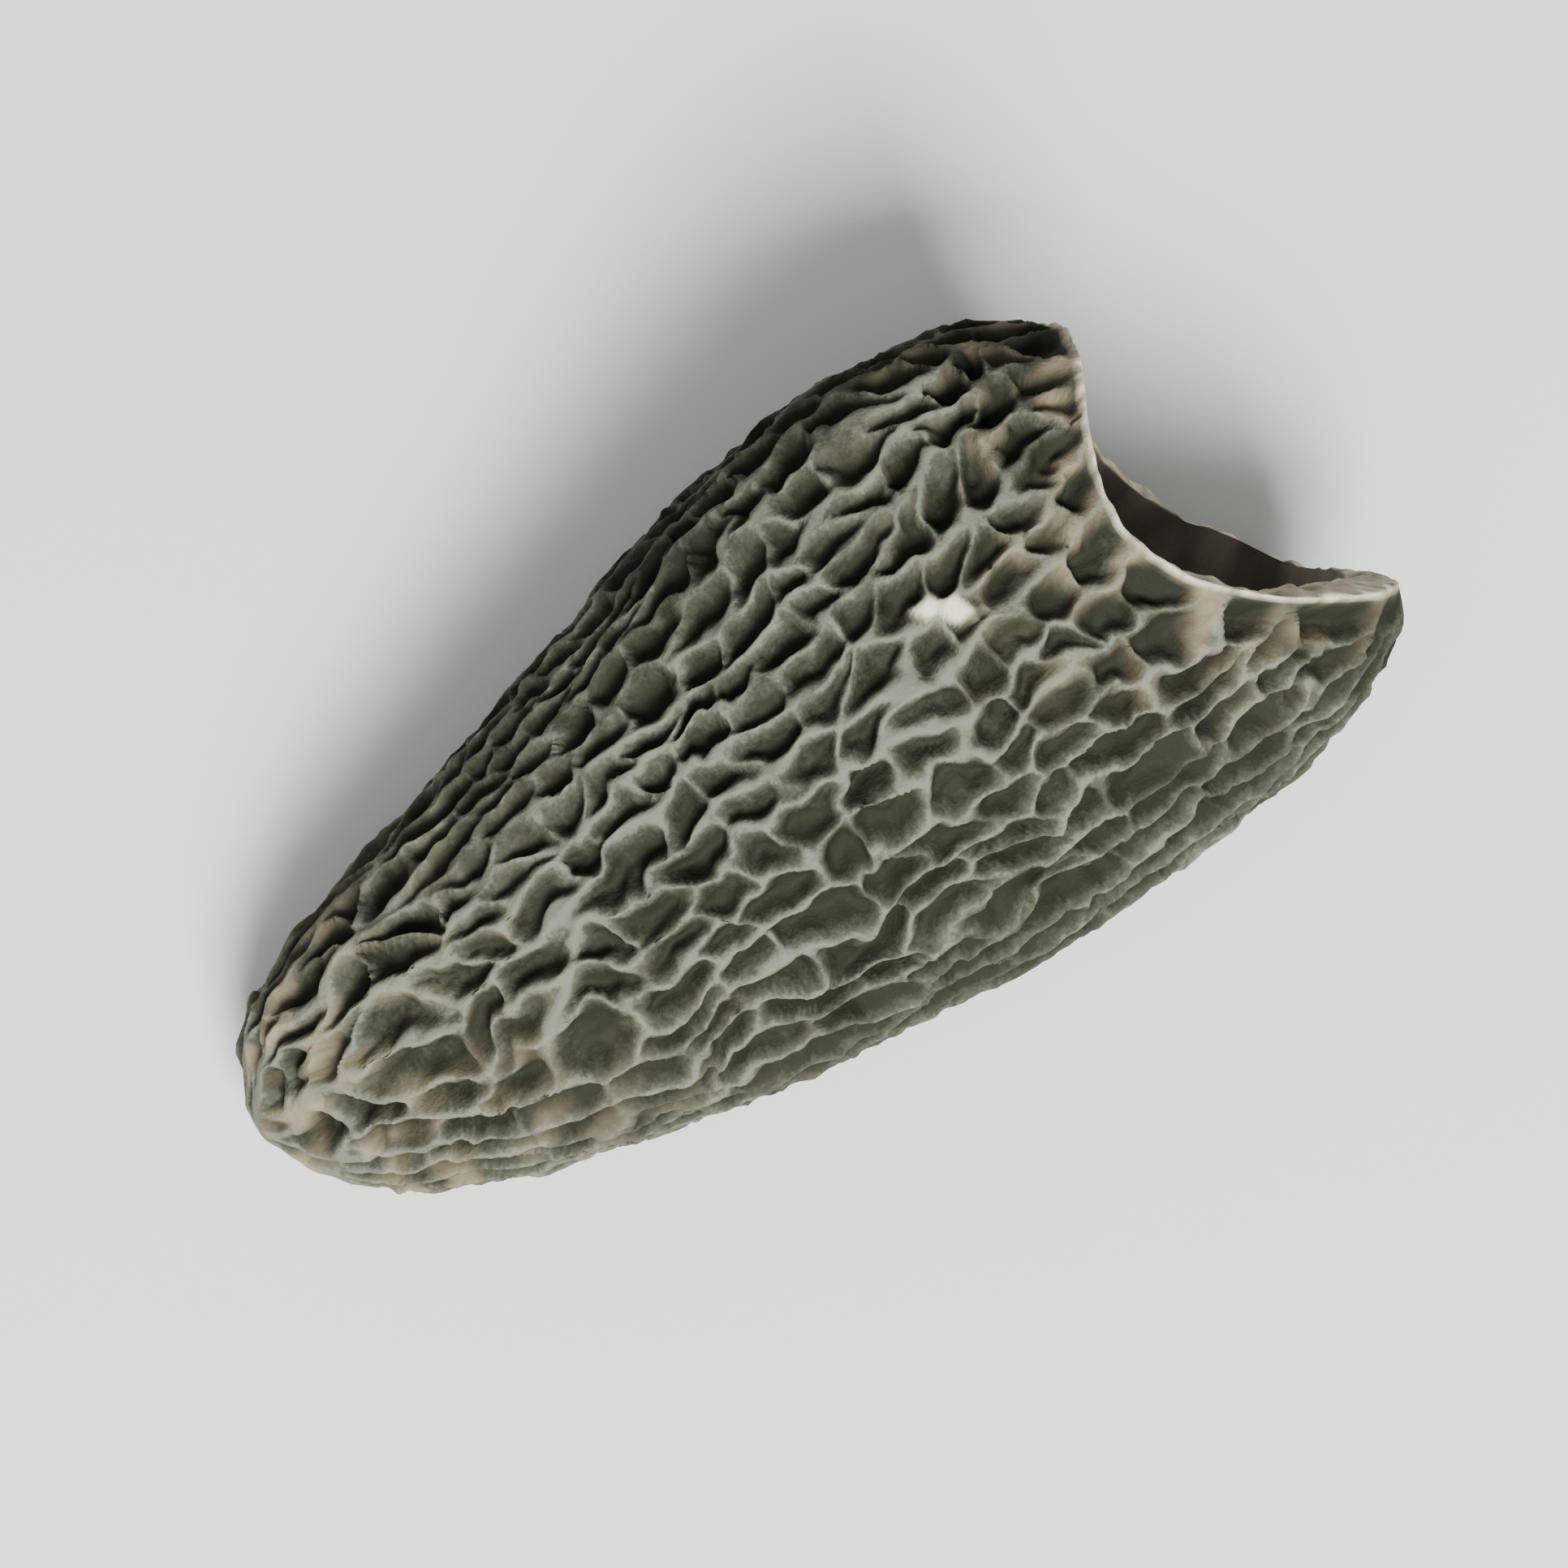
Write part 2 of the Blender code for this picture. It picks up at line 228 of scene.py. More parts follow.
# %% Pit centres on the map
FURROW_PITCH, PITCH_SWING, WIDE_AT = 1.55, 0.26, np.radians(60)
PIT_LENGTH, LENGTH_SWING = 2.75, 0.85
FIRST_PIT = (0.85, 1.1)
TIP_PIT_SHARE = 0.62
AROUND_JITTER, ALONG_JITTER = 0.12, 0.28
SWINGS = ((0.055, 2, 5.0, 0.4), (0.030, 5, -9.0, 2.0))
FURROWS_END_AT_R = (7.0, 4.0, 2.1)
END_SPREAD = (0.82, 1.2)
TIP_START_R = 0.95
NET_TIP_S = 0.35
ANGLE_STEPS = 720
SEED = 11


def furrow_angles():
    """The angle of each furrow.

    The furrows between angle 0 and phi number the sum of radius / pitch, where the pitch in millimetres is
    FURROW_PITCH + PITCH_SWING * cos(phi - WIDE_AT). The whole round is made a multiple of 8, so that it can be
    halved three times, and the angles are read off where the count is a whole number.
    """
    fine = np.linspace(0, TURN, ANGLE_STEPS + 1)
    crowding = WIDEST_R / (FURROW_PITCH + PITCH_SWING * np.cos(fine - WIDE_AT))
    count = np.concatenate([[0], np.cumsum((crowding[1:] + crowding[:-1]) / 2 * np.diff(fine))])
    eighths = 8 * round(count[-1] / 8)
    return np.interp(np.arange(eighths) / eighths * count[-1], count, fine)


def pit_centres():
    """(around, along) of every pit's centre, from the cut end down each furrow in steps of one pit.

    A step is PIT_LENGTH - LENGTH_SWING * cos(angle - WIDE_AT), shorter towards the tip and a bit random. Odd
    furrows start half a pit further on, so that the pits interlock. Furrow number k ends where the cap gets
    thinner than one of FURROWS_END_AT_R: odd ones first, and those that can be halved most often last.
    """
    rng = np.random.default_rng(SEED)
    rising = MAP_S <= MAP_S[np.argmax(MAP_R)]
    centres = []
    for k, angle in enumerate(furrow_angles()):
        halvings = (k & -k).bit_length() - 1 if k else len(FURROWS_END_AT_R)
        end_r = (FURROWS_END_AT_R + (TIP_START_R,))[min(halvings, len(FURROWS_END_AT_R))]
        end_s = np.interp(end_r * rng.uniform(*END_SPREAD), MAP_R[rising], MAP_S[rising])
        length = PIT_LENGTH - LENGTH_SWING * np.cos(angle - WIDE_AT)
        here = MAP_S[-1] - length * (0.5 if k % 2 else 1.0) * rng.uniform(*FIRST_PIT)
        while here > end_s:
            local_r = np.interp(here, MAP_S, MAP_R)
            level = np.interp(here, MAP_S, MAP_ALONG)
            sway = rng.uniform(-1, 1) * AROUND_JITTER * FURROW_PITCH / local_r
            sway += sum(size * np.sin(times * angle + turn * level + phase) for size, times, turn, phase in SWINGS)
            centres.append((angle + sway, level))
            shorter = TIP_PIT_SHARE + (1 - TIP_PIT_SHARE) * local_r / WIDEST_R
            here -= length * shorter * (1 + rng.uniform(-1, 1) * ALONG_JITTER)
    return np.array(centres)


CENTRES = pit_centres()
print(len(CENTRES), "pits")

# %% [markdown]
# How far it is to the nearest ridge
#
# For two centres, the line between their pits is half-way, so the distance of a point to that line is worked out
# from the two distances to the centres, with no line ever drawn. Doing this for the few nearest neighbours of
# each point of the surface, all points at once, gives every ridge. Each ridge has its own height and thickness:
# those that run lengthwise stand tall and join up, and those that cross between them are lower and thinner.

# %% Ridge heights at any points of the map
NEIGHBOURS = 9
CHUNK = 6000
COPY_MARGIN = (2.2, 0.5)
RIDGE_HALF_WIDTH, WIDTH_SPREAD = 0.27, 0.25
CROSS_WIDTH, LENGTHWISE_EXTRA = 0.8, 0.25
CROSS_RIDGE_HEIGHT, CROSS_SWING = 0.70, 0.20
HEIGHT_SPREAD, LENGTHWISE_EVENNESS = 0.22, 0.6
RIDGE_STEEPNESS = 3.0
DRAW_RATES, DRAW_SCALE = (12.9898, 78.233), 43758.5453
HEIGHT_SALT, WIDTH_SALT = 1.0, 5.0
TIP_LINE = np.interp(NET_TIP_S, MAP_S, MAP_ALONG)


def all_centres():
    """The centres, copied a turn away to close the net, and mirrored at the tip and cut end to bound it.

    Copies that lie far past the map's edges can't be near any point of it, and are dropped.
    """
    mirrored = [CENTRES, CENTRES * (1, -1), CENTRES * (1, -1) + (0, 2 * TIP_LINE)]
    plane = np.vstack([rows + (turn * TURN, 0) for turn in (0, -1, 1) for rows in mirrored])
    names = np.tile(np.arange(len(mirrored) * len(CENTRES)), 3)
    around_ok = (plane[:, 0] > -COPY_MARGIN[0]) & (plane[:, 0] < TURN + COPY_MARGIN[0])
    along_ok = (plane[:, 1] > TIP_LINE - COPY_MARGIN[1]) & (plane[:, 1] < COPY_MARGIN[1])
    return plane[around_ok & along_ok], names[around_ok & along_ok]


def pair_draw(a, b, salt):
    """A fixed random number from 0 to 1 for each pair of pits, the same from either side.

    It is the fraction left of |sin(lower number * rate + higher number * other rate + salt)| * a big number.
    """
    low_name, high_name = np.minimum(a, b), np.maximum(a, b)
    return np.modf(np.abs(np.sin(low_name * DRAW_RATES[0] + high_name * DRAW_RATES[1] + salt)) * DRAW_SCALE)[0]


def ridges_at(around, along, radius):
    """Height 0..1 of the net at points of the map, distance to the nearest ridge in mm, step to it, pit and draw.

    distance = (squared distance to the neighbour - squared distance to the own centre) / (2 * their spacing), and
    times the radius in real millimetres.
    Each ridge is its top / (1 + (distance / half width) ** steepness), and the ridges round a pit are merged as
    1 - product(1 - ridge), which rounds the corners where they meet. The work goes in chunks, to spare memory.
    """
    plane, names = all_centres()
    height, nearest = np.empty(around.size), np.empty(around.size)
    toward = np.empty((around.size, 2))
    pit, nearest_draw = np.empty(around.size, int), np.empty(around.size)
    for start in range(0, around.size, CHUNK):
        part = slice(start, start + CHUNK)
        p = np.stack([around[part], along[part]], axis=-1)
        apart = ((p[:, None, :] - plane[None, :, :]) ** 2).sum(axis=-1)
        near = np.argpartition(apart, NEIGHBOURS, axis=1)[:, :NEIGHBOURS]
        near_apart = np.take_along_axis(apart, near, axis=1)
        order = np.argsort(near_apart, axis=1)
        near, near_apart = (np.take_along_axis(a, order, axis=1) for a in (near, near_apart))
        step = plane[near[:, 1:]] - plane[near[:, :1]]
        true_step = step * (1, 1 / PIT_STRETCH)
        spacing = np.hypot(true_step[..., 0], true_step[..., 1])
        distance_mm = (near_apart[:, 1:] - near_apart[:, :1]) / (2 * spacing) * radius[part][:, None]
        lengthwise = np.abs(true_step[..., 0]) / spacing
        own, other = names[near[:, :1]], names[near[:, 1:]]
        draw, draw_width = pair_draw(own, other, HEIGHT_SALT), pair_draw(own, other, WIDTH_SALT)
        crossing = CROSS_RIDGE_HEIGHT + CROSS_SWING * np.cos(around[part] - WIDE_AT)[:, None]
        uneven = HEIGHT_SPREAD * draw * (1 - LENGTHWISE_EVENNESS * lengthwise)
        top = crossing + (1 - crossing) * lengthwise**2 - uneven
        wide = CROSS_WIDTH + LENGTHWISE_EXTRA * lengthwise
        half = RIDGE_HALF_WIDTH * wide * (1 + WIDTH_SPREAD * (2 * draw_width - 1))
        ridge = top / (1 + (distance_mm / half) ** RIDGE_STEEPNESS)
        height[part] = 1 - np.prod(1 - ridge, axis=1)
        closest = np.argmin(distance_mm, axis=1)[:, None]
        nearest[part] = np.take_along_axis(distance_mm, closest, axis=1)[:, 0]
        toward[part] = np.take_along_axis(true_step / spacing[..., None], closest[..., None], axis=1)[:, 0]
        nearest_draw[part] = np.take_along_axis(draw, closest, axis=1)[:, 0]
        pit[part] = names[near[:, 0]] % len(CENTRES)
    return height, nearest, toward, pit, nearest_draw


# %% [markdown]
# Wavering lines
#
# Straight ridges would look like chicken wire. A smooth random field, made by adding up plane waves in random
# directions through space, bends the map a little before the net is read from it, and is used again for wrinkles
# and for ridges that lean over. Waves in space need no seam, because the cap's surface simply passes through them.

# %% Smooth random fields
WAVES, WAVE_SPREAD = 28, (0.7, 1.5)


def between(values, low, high):
    """0 up to low, 1 from high on, and in between the share of the way."""
    return np.clip((values - low) / (high - low), 0, 1)


def ripple(points, size, seed):
    """A smooth random field about -1..1 at the points, from plane waves with lengths near size, in mm.

    It is the sum of sin(distance along a random direction * rate + random phase), divided by the root of half the
    number of waves. Every field of the cap has a seed of its own.
    """
    rng = np.random.default_rng(seed)
    directions = rng.normal(size=(WAVES, 3))
    directions /= np.linalg.norm(directions, axis=1, keepdims=True)
    rates = TURN / (size * rng.uniform(*WAVE_SPREAD, WAVES))
    phases = rng.uniform(0, TURN, WAVES)
    total = np.zeros(points.shape[:-1])
    for direction, rate, phase in zip(directions, rates, phases):
        total += np.sin(points @ direction * rate + phase)
    return total / np.sqrt(WAVES / 2)


# %% [markdown]
# The grid
#
# The outside is one grid of points, many more around than a plain cone needs, because the ridges mostly run
# lengthwise. Points close to a ridge are then slid onto it, so that its top is a clean line and not a row of
# steps. The last row stays on the cut. After that the net is read again where the points now are.

# %% The outside: a net on a grid
AROUND, ROWS = 400, 224
TIP_CROWDING = 0.2
TOP_CROWDING, CROWDED_AT = 0.2, np.radians(-15)
SNAP_REACH, SNAP_AT_R = 0.15, (1.0, 3.0)
WAVER = ((0.26, 4.5, 21), (0.1, 1.6, 23), (0.045, 0.8, 25))
STRAIGHT_AT_END, STRAIGHT_AT_TIP = 1.5, 3.0


def columns():
    """phi of each column: u - crowding * sin(u - middle), which packs them closer on the side that is seen."""
    u = np.arange(AROUND) / AROUND * TURN
    return u - TOP_CROWDING * np.sin(u - CROWDED_AT)


def outside_rows():
    """t of each row, evenly spaced over the surface but closer together at the tip."""
    share = np.linspace(0, 1, ROWS + 1)[1:]
    share = share - TIP_CROWDING * share * (1 - share) ** 3
    return np.interp(share * MAP_S[-1], MAP_S, MAP_T)


def read_net(phi, t):
    """ridges_at for a grid of angles and shares, and the radius there.

    First the map is bent by the sum of the fields of WAVER, each a size in mm, a wave length in mm and a seed. The
    bending fades in the last millimetres before the tip and, lengthwise, before the cut end.
    """
    s, r = np.interp(t, MAP_T, MAP_S), np.interp(t, MAP_T, MAP_R)
    points = ridge_top(phi, t)
    across = sum(size * ripple(points, length, seed) for size, length, seed in WAVER)
    lengthwise = sum(size * ripple(points, length, seed + 1) for size, length, seed in WAVER)
    lengthwise = lengthwise * between(MAP_S[-1] - s, 0, STRAIGHT_AT_END) * between(s, 0, STRAIGHT_AT_TIP)
    around = (phi + across / r * between(r, 0, STRAIGHT_AT_TIP)) % TURN
    along = np.interp(s + lengthwise, MAP_S, MAP_ALONG)
    found = ridges_at(around.ravel(), np.maximum(along, TIP_LINE).ravel(), r.ravel())
    return [a.reshape(phi.shape + a.shape[1:]) for a in found] + [r]


phi_grid, t_grid = np.meshgrid(columns(), outside_rows())
height, nearest, toward, pit, draw, radius = read_net(phi_grid, t_grid)
slide = nearest * np.exp(-((nearest / SNAP_REACH) ** 2)) * between(radius, *SNAP_AT_R)
may_move_along = np.ones((ROWS, 1))
may_move_along[-1] = 0
phi_grid = phi_grid + slide * toward[..., 0] / radius
s_grid = np.interp(t_grid, MAP_T, MAP_S) + slide * toward[..., 1] * may_move_along
t_grid = np.interp(s_grid, MAP_S, MAP_T)
height, nearest, toward, pit, draw, radius = read_net(phi_grid, t_grid)
print("net read at", height.size, "points; mean height", round(float(height.mean()), 2))

# %% [markdown]
# Raising the ridges
#
# The pits are pushed in from the ridge tops, straight down into the flesh. The depth differs from pit to pit. It
# fades towards the tip and, because the thin flesh shrinks most there, towards the cut end, which curls out into a
# low lip. Ridge tops also lean a little to one side or the other, and their level sags here and there. Where the
# cap lies on the table, the lowest tops are worn flat. One small oval spot on the upper side stands nearly as high
# as the ridges and is painted cream. A bump in the material would be quicker, but it leaves the cap's outline
# smooth and goes missing in the exported mesh, so the relief is real.

# %% Points of the outside
# Depths, heights and reaches are in millimetres, and a name with SIZE holds the wave length of a field. Spread,
# bowl, relief, rise, margin and ragged are shares, and curve, sharpness and slope are powers.
PIT_DEPTH, DEPTH_SPREAD = 1.05, 0.15
BOWL, BOWL_REACH = 0.25, 0.8
TIP_FADE, TIP_RELIEF = 2.2, 0.2
RIM_FADE, RIM_RELIEF, RIM_CURVE = 1.6, 0.05, 1.3
LIP, LIP_REACH = 0.15, 0.35
LEAN, LEAN_SIZE, UPRIGHT_AT_RIM = 0.18, 3.2, 2.0
SAG, SAG_SIZE = 0.16, 3.8
GRAIN, GRAIN_SIZE = 0.04, 0.75
CALM_BELOW_R = 4
FLAT_SPOT, SPOT_REACH = (21.5, -0.3, 0.0), 2.3
# A small oval spot on the upper side, raised nearly as high as the ridges and painted cream.
CREAM_SPOT_AT, CREAM_SPOT_WAY = (25.0, -1.7, 19.3), (0.77, -0.64, 0.0)
CREAM_SPOT_HALF, CREAM_SPOT_SHARPNESS = (1.15, 0.33), 10
CREAM_SPOT_RISE, CREAM_SPOT_MARGIN, CREAM_SPOT_SLOPE = 0.9, 1.35, 8
RAGGED, RAGGED_SIZE = 0.1, 0.7
NUDGE, TINY = 1e-4, 1e-9


def unit(vectors):
    """The vectors at length 1."""
    return vectors / np.maximum(np.linalg.norm(vectors, axis=-1, keepdims=True), TINY)


def smoothed(field, times):
    """The field averaged with its neighbours on the grid, 1-2-1 both ways; it wraps round but not end to end."""
    for _ in range(times):
        field = (np.roll(field, 1, axis=1) + 2 * field + np.roll(field, -1, axis=1)) / 4
        padded = np.concatenate([field[:1], field, field[-1:]])
        field = (padded[:-2] + 2 * field + padded[2:]) / 4
    return field


def fading(distance, reach):
    """1 at no distance, dying away past the reach: exp(-(distance / reach) ** 2)."""
    return np.exp(-((distance / reach) ** 2))


def from_cream_spot(points):
    """How far out each point is from the middle of the raised cream spot, 1 at its ragged oval edge."""
    offset = points - CREAM_SPOT_AT
    along = offset @ CREAM_SPOT_WAY
    across = np.linalg.norm(offset - along[..., None] * CREAM_SPOT_WAY, axis=-1)
    return np.hypot(along / CREAM_SPOT_HALF[0], across / CREAM_SPOT_HALF[1]) * (1 + RAGGED * ripple(points, RAGGED_SIZE, 37))


top = ridge_top(phi_grid, t_grid)
round_way = unit(ridge_top(phi_grid + NUDGE, t_grid) - ridge_top(phi_grid - NUDGE, t_grid))
end_way = unit(ridge_top(phi_grid, t_grid + NUDGE) - ridge_top(phi_grid, t_grid - NUDGE))
outward = unit(np.cross(end_way, round_way))
s_grid = np.interp(t_grid, MAP_T, MAP_S)
from_rim = MAP_S[-1] - s_grid
from_spot = np.linalg.norm(top - FLAT_SPOT, axis=-1)
# The raised spot, which the paint makes cream.
off_cream_spot = from_cream_spot(top)
cream_spot = 1 / (1 + off_cream_spot**CREAM_SPOT_SHARPNESS)
raised = CREAM_SPOT_RISE / (1 + (off_cream_spot / CREAM_SPOT_MARGIN) ** CREAM_SPOT_SLOPE)
print("the raised cream spot covers", int((cream_spot > 0.5).sum()), "points of", cream_spot.size)

# %% Pits pushed in, ridges leaning
rng = np.random.default_rng(SEED + 1)
pit_depths = PIT_DEPTH * (1 + DEPTH_SPREAD * rng.uniform(-1, 1, len(CENTRES)))
depth = smoothed(pit_depths[pit], 2) * np.clip(s_grid / TIP_FADE, TIP_RELIEF, 1)
depth = depth * (1 - fading(from_spot, SPOT_REACH)) * (1 - raised)
depth = depth * (RIM_RELIEF + (1 - RIM_RELIEF) * between(from_rim, 0, RIM_FADE) ** RIM_CURVE)
bowl = 1 - BOWL * (1 - between(nearest, 0, BOWL_REACH)) ** 2
sag = SAG * (0.5 + 0.5 * ripple(top, SAG_SIZE, 31)).clip(0, 1)
grain = GRAIN * ripple(top, GRAIN_SIZE, 33) * between(radius, 0, CALM_BELOW_R)
sink = depth * (1 - height) * bowl + sag - LIP * fading(from_rim, LIP_REACH) + grain
lean = LEAN * height * between(radius, 0, CALM_BELOW_R) * between(from_rim, 0, UPRIGHT_AT_RIM)
lean_round, lean_along = (lean * ripple(top, LEAN_SIZE, seed) for seed in (35, 36))
outside = top - outward * sink[..., None] + round_way * lean_round[..., None] + end_way * lean_along[..., None]
print("deepest pit", round(float(sink.max()), 2), "mm")

# %% [markdown]
# The cut edge and the hollow
#
# A real cap is a thin skin round a hollow, and the knife left its edge open. The edge is a few rows that roll
# over from the outside to the inside. The hollow's wall is smooth next to the net outside, with faint wrinkles,
# and it runs back to a round end near the tip. A Solidify modifier would make a wall of one thickness, while this
# one is thick under the ridges and thin under the pits. All the rows are joined into one closed skin, with one
# point at the tip and one at the end of the hollow.

# %% Points of the cut edge and the hollow
EDGE_ROWS, HOLLOW_ROWS = 5, 17
HOLLOW_CROWDING = 1.15
EDGE_ROLL, EDGE_ROUGH, EDGE_ROUGH_SIZE = 0.18, 0.05, 0.9
WRINKLE, WRINKLE_SIZE, WRINKLE_WAY = 0.11, 3.0, np.array([0, 0.7, 0.7])
TIP_DENT = 0.15

hollow_t = np.linspace(1, 0, HOLLOW_ROWS + 1)[:-1, None] ** HOLLOW_CROWDING
hollow = hollow_wall(columns()[None, :], hollow_t)
hollow = hollow + WRINKLE * ripple(hollow, WRINKLE_SIZE, 41)[..., None] * WRINKLE_WAY
share = (np.arange(1, EDGE_ROWS + 1) / (EDGE_ROWS + 1))[:, None, None]
edge = (1 - share) * outside[-1] + share * hollow[0] + EDGE_ROLL * end_way[-1] * np.sin(np.pi * share)
edge = edge + EDGE_ROUGH * ripple(edge, EDGE_ROUGH_SIZE, 43)[..., None]
tip_point = ridge_top(0.0, 0.0)[None, :] + (TIP_DENT, 0, 0)
hollow_end = hollow_wall(0.0, 0.0)[None, :]
edge_width = np.linalg.norm(outside[-1] - hollow[0], axis=-1)
print("cut edge between", edge_width.min().round(2), "and", edge_width.max().round(2), "mm wide")

# %% Join everything into one closed skin
def grid_faces(row_count):
    """Quads between each row and the next, wrapping round: (i, j), (i + 1, j), (i + 1, j + 1), (i, j + 1)."""
    i, j = np.meshgrid(np.arange(row_count - 1), np.arange(AROUND), indexing="ij")
    k = (j + 1) % AROUND
    quads = np.stack([i * AROUND + j, (i + 1) * AROUND + j, (i + 1) * AROUND + k, i * AROUND + k], axis=-1)
    return quads.reshape(-1, 4)


def fan_faces(row_start, point, turned):
    """Triangles from one row of points to a single point; turned ones face the other way."""
    j = np.arange(AROUND)
    k = (j + 1) % AROUND
    ends = (k, j) if turned else (j, k)
    return np.stack([row_start + ends[0], row_start + ends[1], np.full(AROUND, point)], axis=-1)


def to_world(points):
    """Sketch millimetres to metres in the model's frame, with the ground at height 0."""
    moved = points - (BOX_MIDDLE[0], BOX_MIDDLE[1], WORN)
    moved[:, 2] = np.maximum(moved[:, 2], 0)
    return moved * MM


rows = np.concatenate([outside, edge, hollow]).reshape(-1, 3)
row_count = ROWS + EDGE_ROWS + HOLLOW_ROWS
points = to_world(np.concatenate([rows, tip_point, hollow_end]))
quads = grid_faces(row_count)
tip_fan = fan_faces(0, len(rows), turned=False)
end_fan = fan_faces((row_count - 1) * AROUND, len(rows) + 1, turned=True)
faces = quads.tolist() + tip_fan.tolist() + end_fan.tolist()
mesh = bpy.data.meshes.new("morel_cap")
mesh.from_pydata(points.tolist(), [], faces)
mesh.shade_smooth()
cap = bpy.data.objects.new("morel_cap", mesh)
bpy.context.scene.collection.objects.link(cap)
triangles = 2 * len(quads) + len(tip_fan) + len(end_fan)
print("the skin has", triangles, "triangles")

# %% [markdown]
# Notes for the paint
#
# The colours of a dried morel follow its relief: pale on the ridge tops, black-grey in the pits, cream where the
# knife cut and on one raised spot, and mauve-grey inside. So each point is given a few numbers that the material
# will read. The first says how far it goes from black to palest, in wear and in painted light and shade: the pits'
# own pigment is darkened with painted shade, the crests get a painted highlight, the tip is rubbed palest and some
# ridges more than others, the side facing up is painted paler as if lit from above, and the flanks, the +Y side and
# the cut end are painted darker with shade. "warm" says how much straw beige shows, the next number how much cream
# flesh, and "inside" marks the hollow. A map of these numbers could be painted by hand, but worked out they fit
# every ridge.

# %% How worn and shaded, warm and cream each point is
# A reach is in millimetres. Wear and painted shade run from about 0, black, to 1, palest, and each line adds its
# share to it.
# The crest line along each ridge top is pale skin together with a painted highlight.
CREST_REACH, CUT_REACH, TIP_REACH, END_REACH = 0.17, 0.2, 9.0, 6.5
RIDGE_SHARE, CREST_SHARE = 0.6, 0.4
PATCH_WEAR, PATCH_SIZE, RIDGE_WEAR = 0.07, 5.0, 0.16
PIT_EVENNESS, RISEN = 0.3, 0.6
# The second of these is painted shade that darkens the lobe at the cut end; the first is the tip's real rubbing.
TIP_WEAR, END_SHADE = 0.28, -0.23
# The second of these paints light and shade by facing: paler where the surface faces up, as if lit from above,
# darker on the flanks.
# The third is painted shade that darkens the side facing +Y.
UPPER_FACING, UP_FACING_LIGHT_AND_SHADE, SHORT_SIDE_SHADE = (0.2, 1.0), (-0.15, 0.17), -0.24
WARM_MOST, WARM_FACING, WARM_HEIGHTS = 0.62, (0.3, 0.85), (0.2, 0.7)
BLOTCH_SIZE, BLOTCH_RANGE = 2.0, (-0.5, 1.3)
STAIN_SIZE, STAIN_RANGE, STAINED = 0.5, (-1.5, 0.8), 0.45
EDGE_WORN, HOLLOW_WORN = 0.8, 0.5


def blotches(points):
    """0..1 in soft spots of about BLOTCH_SIZE."""
    return between(ripple(points, BLOTCH_SIZE, 51), *BLOTCH_RANGE)


def bare(points):
    """How pale the cut flesh is, from STAINED to 1, in small stains."""
    return STAINED + (1 - STAINED) * between(ripple(points, STAIN_SIZE, 53), *STAIN_RANGE)


near_cut, near_end = fading(from_rim, CUT_REACH), fading(from_rim, END_REACH)
near_tip = fading(s_grid, TIP_REACH)
facing_up, facing_short_side = outward[..., 2], outward[..., 1]
# The crest: pale skin with a painted highlight along each ridge top, and the cut's edge.
crest = np.maximum(height * fading(nearest, CREST_REACH), near_cut)
uneven = PATCH_WEAR * ripple(outside, PATCH_SIZE, 55) + RIDGE_WEAR * (1 - 2 * smoothed(draw, 1))
uneven = uneven * (PIT_EVENNESS + (1 - PIT_EVENNESS) * between(height, 0, RISEN))
# Near the cut end the grey is darkened as painted shade.
# Pits dark with their own pigment and with painted shade; ridge tops pale, their crests brightened as a painted
# highlight.
worn = RIDGE_SHARE * height + CREST_SHARE * crest + uneven + TIP_WEAR * near_tip + END_SHADE * near_end
# Painted light and shade: paler where the surface faces up, darker on the flanks.
worn = worn + np.interp(facing_up, UPPER_FACING, UP_FACING_LIGHT_AND_SHADE)
# Painted shade on the side that faces +Y.
worn = worn + SHORT_SIDE_SHADE * between(facing_short_side, 0, 1)
warm = WARM_MOST * np.maximum(near_tip, near_end * between(facing_up, *WARM_FACING))
warm = warm * blotches(outside) * between(height, *WARM_HEIGHTS)
# Cream where the knife cut and on the raised spot.
cut = np.maximum(near_cut * bare(outside), cream_spot)
print("worn from", worn.min().round(2), "to", worn.max().round(2))


# %% Store the numbers on the mesh
def note(name, outer, on_edge, in_hollow):
    """Keeps one number per point on the mesh: a grid for the outside, grids or single numbers for the rest.

    The point at the tip takes the mean of the row next to it, and the one in the hollow its neighbour's number.
    """
    edge_values = np.broadcast_to(on_edge, (EDGE_ROWS, AROUND)).ravel()
    hollow_values = np.broadcast_to(in_hollow, (HOLLOW_ROWS, AROUND)).ravel()
    values = np.concatenate([outer.ravel(), edge_values, hollow_values, [outer[0].mean(), hollow_values[-1]]])
    mesh.attributes.new(name, "FLOAT", "POINT").data.foreach_set("value", values.astype(np.float32))


note("worn", worn, EDGE_WORN, HOLLOW_WORN)
note("warm", warm, 0.0, blotches(hollow))
note("cut", cut, bare(edge), 0.0)
note("inside", np.zeros_like(height), 0.0, 1.0)
print("noted", [a.name for a in mesh.attributes if a.domain == "POINT"])

# %% [markdown]
# Building materials
#
# Three helpers keep the materials short. One turns the hex colour seen on a screen into the linear light that the
# renderer counts in. One adds a node, gives it its settings, and links or fills its sockets. The last starts a
# material and gives back its tree of nodes and its shader.

# %% Helpers for materials
def linear(code, alpha=1.0):
    """sRGB hex to linear: c / 12.92 below 0.04045, and ((c + 0.055) / 1.055) ** 2.4 above."""
    c = np.array([int(code[i:i + 2], 16) for i in (1, 3, 5)]) / 255
    return (*np.where(c <= 0.04045, c / 12.92, ((c + 0.055) / 1.055) ** 2.4).tolist(), alpha)


